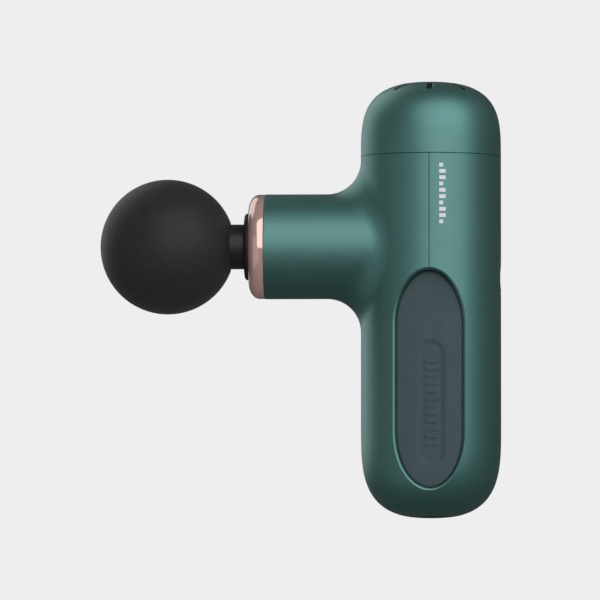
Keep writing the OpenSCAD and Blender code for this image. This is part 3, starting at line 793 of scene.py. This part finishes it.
def make_bezel():
    """Charge port bezel whose face follows the foot's curve, with a bevelled slot."""
    top = BEZEL[1].z
    rim = BEZEL_R - 0.04 * MM
    sunk, edge_sunk = 0.03 * MM, 0.3 * MM
    steps = 12
    outline = [(0, top), (rim, top)]
    for k in range(steps + 1):
        r = rim * (1 - k / steps)
        foot = FOOT_CENTRE - FOOT_DOME * (1 - (r / BODY_R) ** DOME_ACROSS) ** (1 / DOME_ALONG)
        outline.append((r, foot + sunk + (edge_sunk if k == 0 else 0)))
    bezel = lathe("port_bezel_domed", outline, segments=160, closed=False)
    half, radius = (PORT_W - PORT_H) / 2, PORT_H / 2 + 0.15 * MM
    bevel = 0.4 * MM
    turns = np.concatenate([np.linspace(-math.pi / 2, math.pi / 2, 17),
                            np.linspace(math.pi / 2, 1.5 * math.pi, 17)])
    sides = np.repeat([half, -half], 17)
    rows = []
    levels = [(0, top + CUT_CLEAR), (0, FOOT_Z + 0.5 * MM), (bevel, FOOT_Z + 0.08 * MM),
              (bevel, BEZEL[0].z - CUT_CLEAR)]
    for grow, z in levels:
        rows.append([(s + (radius + grow) * math.cos(t), (radius + grow) * math.sin(t), z)
                     for s, t in zip(sides, turns)])
    sheets = Sheets()
    index = sheets.grid(rows)
    sheets.skin(index, closed=True)
    sheets.faces += [[int(i) for i in ring] for ring in (index[0], index[-1])]
    return shade(combine(bezel, sheets.piece("port_cutter"), "DIFFERENCE"), 35)


def make_button():
    """Round power button that follows the handle's curve, with a soft edge and a finger dish."""
    radius, back = BUTTON_R, BUTTON[0].x
    face = BODY_R - 0.03 * MM
    edge = 0.5 * MM
    dish_r, dish_slope, dish_depth = 3.9 * MM, 1.6 * MM, 0.2 * MM
    groove_r, groove_w, groove_depth = 2.2 * MM, 0.22 * MM, 0.14 * MM
    turns = np.linspace(0, 2 * math.pi, 128, endpoint=False)
    rims = [radius - edge * (1 - math.cos(a)) for a in np.linspace(0, math.pi / 2, 7)]
    rims += list(np.linspace(radius - 0.7 * MM, 0.2 * MM, 26))
    rows = [[(back, radius * math.cos(t), BUTTON_Z + radius * math.sin(t)) for t in turns]]
    for rho in rims:
        drop = edge - math.sqrt(max(0, edge ** 2 - max(0, rho - radius + edge) ** 2))
        dish = dish_depth * float(smoothstep((dish_r - rho) / dish_slope))
        groove = groove_depth * math.exp(-((rho - groove_r) / groove_w) ** 2)
        rows.append([(math.sqrt(face ** 2 - (rho * math.cos(t)) ** 2) - drop - dish - groove,
                      rho * math.cos(t), BUTTON_Z + rho * math.sin(t)) for t in turns])
    sheets = Sheets()
    index = sheets.grid(rows)
    sheets.skin(index, closed=True)
    for ring, x in ((index[0], back), (index[-1], face - dish_depth)):
        sheets.close(ring, (x, 0, BUTTON_Z))
    return shade(sheets.piece("power_button_cap"), 50)


def make_print():
    """A generic column of short printed bars on the rear shell's side."""
    bars, pitch, tall, wide, short = 10, 2.05 * MM, 1.25 * MM, 2.1 * MM, 0.62
    centre_x, centre_z = 4.35 * MM, 59.2 * MM
    lift, sink = 0.02 * MM, 0.05 * MM
    sheets = Sheets()
    for k in range(bars):
        width = wide * (1.0 if k % 3 else short)
        z = centre_z + pitch * ((bars - 1) / 2 - k)
        left = centre_x - wide / 2
        xs = np.linspace(left, left + width, 9)
        rows = [[(x, -math.sqrt((BODY_R + depth) ** 2 - x * x), height) for x in xs]
                for depth, height in ((-sink, z - tall / 2), (lift, z - tall / 2),
                                      (lift, z + tall / 2), (-sink, z + tall / 2))]
        index = sheets.grid(rows)
        sheets.skin(np.vstack([index, index[:1]]))
        for col in (0, -1):
            sheets.faces.append([int(i) for i in index[:, col]])
    return shade(sheets.piece("printed_bars"), 30)


# ---- materials ----

class Nodes:
    """Small helper round a material's node tree."""

    def __init__(self, name):
        self.material = bpy.data.materials.new(name)
        self.material.use_nodes = True
        self.tree = self.material.node_tree
        self.shader = self.tree.nodes["Principled BSDF"]
        self.place = self.tree.nodes.new("ShaderNodeTexCoord").outputs["Object"]

    def set(self, **values):
        for name, value in values.items():
            socket = self.shader.inputs[name.replace("_", " ")]
            socket.default_value = (*value, 1) if isinstance(value, tuple) else value
        return self

    def add(self, kind, inputs=None, **settings):
        node = self.tree.nodes.new(kind)
        for name, value in settings.items():
            setattr(node, name, value)
        for name, value in (inputs or {}).items():
            socket = node.inputs[name]
            if isinstance(value, bpy.types.NodeSocket):
                self.tree.links.new(value, socket)
            else:
                socket.default_value = value
        return node

    def noise(self, size, detail=3.0, rough=0.55, stretch=None):
        """Noise whose features are about size metres across."""
        where = self.place
        if stretch:
            where = self.add("ShaderNodeMapping", {"Vector": where, "Scale": stretch}).outputs["Vector"]
        settings = {"Vector": where, "Scale": 1 / size, "Detail": detail, "Roughness": rough}
        return self.add("ShaderNodeTexNoise", settings).outputs["Fac"]

    def spread(self, value, low, high, start=0.3, end=0.7):
        """Maps a value to a range."""
        node = self.add("ShaderNodeMapRange", {"Value": value, "From Min": start, "From Max": end,
                                               "To Min": low, "To Max": high})
        return node.outputs["Result"]

    def colours(self, value, first, second, start=0.35, end=0.65):
        """Two colours mixed by a value."""
        ramp = self.add("ShaderNodeValToRGB", {"Fac": value})
        ramp.color_ramp.elements[0].position = start
        ramp.color_ramp.elements[0].color = (*first, 1)
        ramp.color_ramp.elements[1].position = end
        ramp.color_ramp.elements[1].color = (*second, 1)
        return ramp.outputs["Color"]

    def feed(self, name, output):
        self.tree.links.new(output, self.shader.inputs[name])
        return self

    def bump(self, height, depth, strength=1.0):
        """Bump of a depth in metres."""
        node = self.add("ShaderNodeBump", {"Height": height, "Distance": depth, "Strength": strength})
        return self.feed("Normal", node.outputs["Normal"])


def teal_lacquer():
    """Satin metallic lacquer: fine flakes, faint orange peel."""
    m = Nodes("shell_teal").set(Metallic=0.92, Coat_Weight=0.45, Coat_Roughness=0.34)
    flakes = m.add("ShaderNodeTexVoronoi", {"Vector": m.place, "Scale": 1 / (0.09 * MM)})
    green = m.colours(flakes.outputs["Distance"], (0.155, 0.37, 0.345), (0.13, 0.325, 0.3), 0.2, 0.8)
    m.feed("Base Color", green)
    m.feed("Roughness", m.spread(m.noise(6 * MM), 0.5, 0.54))
    return m.bump(m.noise(0.5 * MM, 2), 0.0015 * MM, 0.5).material


def slate_silicone():
    """Grey-blue silicone with a fine matt grain."""
    m = Nodes("grip_slate").set(IOR=1.41, Sheen_Weight=0.06, Sheen_Roughness=0.5)
    m.feed("Base Color", m.colours(m.noise(3 * MM, 4), (0.058, 0.098, 0.107), (0.066, 0.108, 0.118)))
    m.feed("Roughness", m.spread(m.noise(1.5 * MM), 0.6, 0.7))
    return m.bump(m.noise(0.14 * MM, 2), 0.006 * MM, 0.5).material


def rose_gold():
    """Pink plating under a clear, glossy coat."""
    m = Nodes("rose_gold").set(Metallic=0.46, Base_Color=(1.0, 0.62, 0.54), Coat_Weight=0.8, Coat_IOR=2.2,
                               Coat_Roughness=0.06)
    m.feed("Roughness", m.spread(m.noise(2 * MM, 5), 0.08, 0.13))
    return m.bump(m.noise(0.6 * MM, 2), 0.0004 * MM, 0.4).material


def black_foam():
    """Dense black foam with fine pores."""
    m = Nodes("black_foam").set(IOR=1.4, Sheen_Weight=0.1, Sheen_Roughness=0.4)
    m.feed("Base Color", m.colours(m.noise(0.8 * MM, 4), (0.024, 0.0235, 0.024), (0.032, 0.031, 0.032)))
    m.feed("Roughness", m.spread(m.noise(0.5 * MM), 0.5, 0.6))
    return m.bump(m.noise(0.22 * MM, 3), 0.012 * MM, 0.55).material


def moulded(name, first, second, low, high, grain=0.3, depth=0.004):
    """A moulded plastic or rubber with a fine spark-eroded grain; grain and depth are in mm."""
    m = Nodes(name)
    m.feed("Base Color", m.colours(m.noise(2.5 * MM, 4), first, second))
    m.feed("Roughness", m.spread(m.noise(1.2 * MM), low, high))
    return m.bump(m.noise(grain * MM, 2), depth * MM, 0.5).material


def metal(name, first, second, low, high, stretch=None, grain=0.5, depth=0.002):
    """A machined or cast metal; stretch draws its grain out, and grain and depth are in mm."""
    m = Nodes(name).set(Metallic=1.0)
    grain_noise = m.noise(grain * MM, 4, 0.6, stretch)
    m.feed("Base Color", m.colours(grain_noise, first, second))
    m.feed("Roughness", m.spread(grain_noise, low, high))
    return m.bump(grain_noise, depth * MM, 0.6).material


def banded(name, first, second, pitch, direction, low, high, depth):
    """Metal with bands along one axis: laminations of a core or turns of a winding."""
    m = Nodes(name).set(Metallic=1.0)
    scale = 0.314 / pitch            # a wave texture has a period of 0.314 at scale 1
    wave = m.add("ShaderNodeTexWave", {"Vector": m.place, "Scale": scale, "Distortion": 0.2},
                 bands_direction=direction)
    m.feed("Base Color", m.colours(wave.outputs["Fac"], first, second, 0.2, 0.6))
    m.feed("Roughness", m.spread(m.noise(1 * MM), low, high))
    return m.bump(wave.outputs["Fac"], depth, 0.8).material


def circuit_board():
    """Green solder mask over faint square copper tracks."""
    m = Nodes("board_green").set(Coat_Weight=0.3, Coat_Roughness=0.25)
    cells = m.add("ShaderNodeTexVoronoi", {"Vector": m.place, "Scale": 1 / (1.6 * MM)},
                  distance="CHEBYCHEV", feature="F1")
    tracks = m.spread(cells.outputs["Distance"], 0, 1, 0.42, 0.5)
    m.feed("Base Color", m.colours(tracks, (0.012, 0.11, 0.05), (0.03, 0.2, 0.09), 0.2, 0.8))
    m.feed("Roughness", m.spread(m.noise(2 * MM), 0.35, 0.45))
    return m.bump(tracks, 0.03 * MM, 0.6).material


def frosted():
    """Frosted clear plastic of the battery lights."""
    m = Nodes("light_pipe").set(Transmission_Weight=0.6, IOR=1.49, Base_Color=(0.86, 0.9, 0.88))
    m.feed("Roughness", m.spread(m.noise(0.6 * MM), 0.3, 0.5))
    return m.bump(m.noise(0.3 * MM, 2), 0.004 * MM, 0.5).material


def make_materials():
    """One material for each of the record's slots."""
    return {
        "shell_teal": teal_lacquer(),
        "grip_slate": slate_silicone(),
        "rose_gold": rose_gold(),
        "black_foam": black_foam(),
        "black_rubber": moulded("black_rubber", (0.012, 0.010, 0.010), (0.018, 0.015, 0.015), 0.5, 0.62),
        "black_plastic": moulded("black_plastic", (0.019, 0.0185, 0.019), (0.025, 0.0245, 0.025),
                                 0.36, 0.48),
        "button_grey": moulded("button_grey", (0.07, 0.1, 0.108), (0.08, 0.112, 0.12), 0.4, 0.5),
        "light_pipe": frosted(),
        "cast_alloy": metal("cast_alloy", (0.5, 0.51, 0.53), (0.6, 0.61, 0.63), 0.35, 0.55,
                            grain=0.8, depth=0.01),
        "bronze": metal("bronze", (0.5, 0.34, 0.16), (0.6, 0.42, 0.2), 0.3, 0.5),
        "steel": metal("steel", (0.55, 0.56, 0.57), (0.66, 0.67, 0.68), 0.18, 0.34, stretch=(1, 1, 12)),
        "dark_steel": banded("dark_steel", (0.09, 0.095, 0.1), (0.16, 0.165, 0.17), 0.5 * MM, "Z",
                             0.35, 0.5, 0.01 * MM),
        "magnet_nickel": metal("magnet_nickel", (0.42, 0.42, 0.41), (0.5, 0.5, 0.49), 0.2, 0.35),
        "copper": banded("copper", (0.3, 0.1, 0.035), (0.62, 0.27, 0.12), 0.45 * MM, "Z", 0.25, 0.4,
                         0.05 * MM),
        "cell_wrap": moulded("cell_wrap", (0.02, 0.1, 0.24), (0.028, 0.13, 0.29), 0.24, 0.34,
                             grain=4, depth=0.03),
        "nickel_strip": metal("nickel_strip", (0.55, 0.54, 0.5), (0.64, 0.63, 0.59), 0.25, 0.4,
                              stretch=(12, 1, 1)),
        "board_green": circuit_board(),
        "chip_black": moulded("chip_black", (0.012, 0.012, 0.013), (0.018, 0.018, 0.019), 0.5, 0.62),
        "capacitor_blue": moulded("capacitor_blue", (0.012, 0.014, 0.06), (0.016, 0.019, 0.08), 0.25, 0.35),
        "wire_red": moulded("wire_red", (0.26, 0.015, 0.012), (0.32, 0.02, 0.016), 0.4, 0.5),
    }


def print_ink():
    """White ink, slightly uneven."""
    m = Nodes("print_ink").set(Specular_IOR_Level=0.3)
    m.feed("Base Color", m.colours(m.noise(0.4 * MM), (0.9, 0.91, 0.9), (0.94, 0.95, 0.94)))
    m.feed("Roughness", m.spread(m.noise(0.3 * MM), 0.45, 0.6))
    return m.bump(m.noise(0.2 * MM), 0.002 * MM, 0.4).material


def dress(piece, material):
    """Gives a piece one material."""
    piece.data.materials.clear()
    piece.data.materials.append(material)
    return piece


# ---- the scene ----

def paint_slot_shade(piece, depth_at, material):
    """Paints shade: gives a second, dark material to the faces that lie below a shell's outer surface, so
    the walls down the cap's vent slots read black.
    """
    piece.data.materials.append(material)
    for face in piece.data.polygons:
        if depth_at(face.center) > EDGE_R:
            face.material_index = 1
    return piece


def cap_depth(point):
    """How far a point lies inside the cap's outer surface, roughly."""
    radius = math.hypot(point.x, point.y)
    return min(surface_radius(point.z) - radius, cap_height(min(radius, BODY_R)) - point.z)


def add_piece(piece, body, slot, nodes, materials):
    """Dresses a piece, lets it ride on a body and hides the CAD nodes that it stands for."""
    dress(piece, materials[slot])
    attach(piece, body)
    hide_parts(*nodes)
    return piece


def make_object():
    """All pieces: the frame's own nodes with new materials, and finer ones for what shows."""
    materials = make_materials()
    for part in frame["record"]["subparts"]:
        dress(frame["nodes"][part["node"]], materials[part["material_slot"]])
    add_piece(make_front_shell(), "housing", "shell_teal", ["front_shell"], materials)
    add_piece(make_rear_shell(), "housing", "shell_teal", ["rear_shell"], materials)
    cap = add_piece(make_top_cap(), "housing", "shell_teal", ["top_cap"], materials)
    # painted shade: the cap's inside and the walls of its vent slots take the dark black_plastic material
    paint_slot_shade(cap, cap_depth, materials["black_plastic"])
    for name, side in (("left", -1), ("right", 1)):
        panel = make_panel(f"grip_panel_{name}_soft", side)
        add_piece(panel, "housing", "grip_slate", [f"grip_panel_{name}"], materials)
    add_piece(make_nose_ring(), "housing", "rose_gold", ["nose_ring"], materials)
    add_piece(make_dust_seal(), "housing", "black_rubber", ["dust_seal"], materials)
    add_piece(make_ball(), "head", "black_foam", ["massage_ball"], materials)
    add_piece(make_stem(), "head", "black_plastic", ["head_stem"], materials)
    add_piece(make_button(), "button", "button_grey", ["power_button"], materials)
    add_piece(make_bezel(), "housing", "black_plastic", ["port_bezel"], materials)
    marks = dress(make_print(), print_ink())
    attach(marks, "housing")


def make_floor():
    """A wide pale floor far below the object, as bright as the backdrop."""
    level, reach = -4.4, 20.0
    sheets = Sheets()
    ring = sheets.grid([[(reach * math.cos(t), reach * math.sin(t), level)
                         for t in np.linspace(0, 2 * math.pi, 96, endpoint=False)]])[0]
    sheets.faces.append([int(i) for i in ring])
    floor = sheets.piece("floor")
    m = Nodes("pale_floor").set(Specular_IOR_Level=0.1)
    m.set(Emission_Strength=0.79, Emission_Color=(1.0, 1.0, 1.0))
    m.feed("Base Color", m.colours(m.noise(0.4), (0.8, 0.8, 0.8), (0.83, 0.83, 0.83)))
    m.feed("Roughness", m.spread(m.noise(0.2), 0.8, 0.9))
    dress(floor, m.material)
    floor.visible_glossy = floor.visible_diffuse = False


def make_world():
    """A pale backdrop that the camera sees, over a dim room whose floor throws light back up."""
    backdrop, room_light, bounce_light = 0.855, 0.075, 0.28
    world = bpy.data.worlds.new("studio")
    bpy.context.scene.world = world
    world.use_nodes = True
    tree = world.node_tree
    tree.nodes.clear()

    def add(kind, *feeds, **settings):
        """A node whose first inputs are fed by sockets or set to values."""
        node = tree.nodes.new(kind)
        for name, value in settings.items():
            setattr(node, name, value)
        for socket, value in zip(node.inputs, feeds):
            if isinstance(value, bpy.types.NodeSocket):
                tree.links.new(value, socket)
            else:
                socket.default_value = value
        return node

    path = add("ShaderNodeLightPath").outputs
    way = add("ShaderNodeTexCoord").outputs["Generated"]
    height = add("ShaderNodeSeparateXYZ", way).outputs["Z"]
    below = add("ShaderNodeMath", height, 0.0, operation="LESS_THAN").outputs["Value"]
    bounce = add("ShaderNodeMath", below, path["Is Diffuse Ray"], operation="MULTIPLY").outputs["Value"]
    power = add("ShaderNodeMath", bounce, bounce_light, room_light, operation="MULTIPLY_ADD")
    room = add("ShaderNodeBackground", (1, 1, 1, 1), power.outputs["Value"]).outputs["Background"]
    seen = add("ShaderNodeBackground", (backdrop, backdrop, backdrop, 1)).outputs["Background"]
    mix = add("ShaderNodeMixShader", path["Is Camera Ray"], room, seen).outputs["Shader"]
    add("ShaderNodeOutputWorld", mix)


def direction(azimuth, elevation):
    """Where a camera at this azimuth and elevation stands, as seen from what it looks at."""
    a, e = math.radians(azimuth), math.radians(elevation)
    return Vector((math.sin(a) * math.cos(e), -math.cos(a) * math.cos(e), math.sin(e)))


def stand(thing, aim, back, distance):
    """Puts a light or camera at a distance from its aim and turns it towards it."""
    thing.location = aim + back * distance
    thing.rotation_mode = "QUATERNION"
    thing.rotation_quaternion = (-back).to_track_quat("-Z", "Y")
    bpy.context.scene.collection.objects.link(thing)


def softbox(name, azimuth, elevation, distance, width, height, power, aim):
    """A soft light."""
    data = bpy.data.lights.new(name, "AREA")
    data.shape = "RECTANGLE"
    data.size, data.size_y = width, height
    data.energy = power
    lamp = bpy.data.objects.new(name, data)
    lamp.visible_camera = False
    stand(lamp, aim, direction(azimuth, elevation), distance)


def make_lights(aim):
    """Azimuth, elevation, distance, width, height and power of each soft light."""
    softbox("key", 27, 28, 1.0, 1.6, 1.3, 8.4, aim)
    softbox("front_fill", -42, -12, 1.0, 1.7, 1.1, 1.1, aim)
    softbox("rim_left", -134, 26, 1.0, 0.9, 1.2, 2.8, aim)


def make_camera(aim):
    """A distant camera with a long lens, slightly below and right of the object's side."""
    azimuth, elevation, distance = 2.2, -3.4, 4.0
    share = 0.668        # how much of the frame's width the object fills
    width = (cad_box[1][0] - cad_box[0][0]) / share
    data = bpy.data.cameras.new("camera")
    data.lens = data.sensor_width * distance / width
    data.clip_end = 30
    camera = bpy.data.objects.new("camera", data)
    stand(camera, aim, direction(azimuth, elevation), distance)
    bpy.context.scene.camera = camera


centre = (Vector(cad_box[0]) + Vector(cad_box[1])) / 2
aim_off = Vector((-0.23 * MM, 0, 0.06 * MM))
make_camera(centre + aim_off)
make_object()
make_floor()
make_world()
make_lights(centre)
bpy.context.scene.view_settings.view_transform = "Standard"
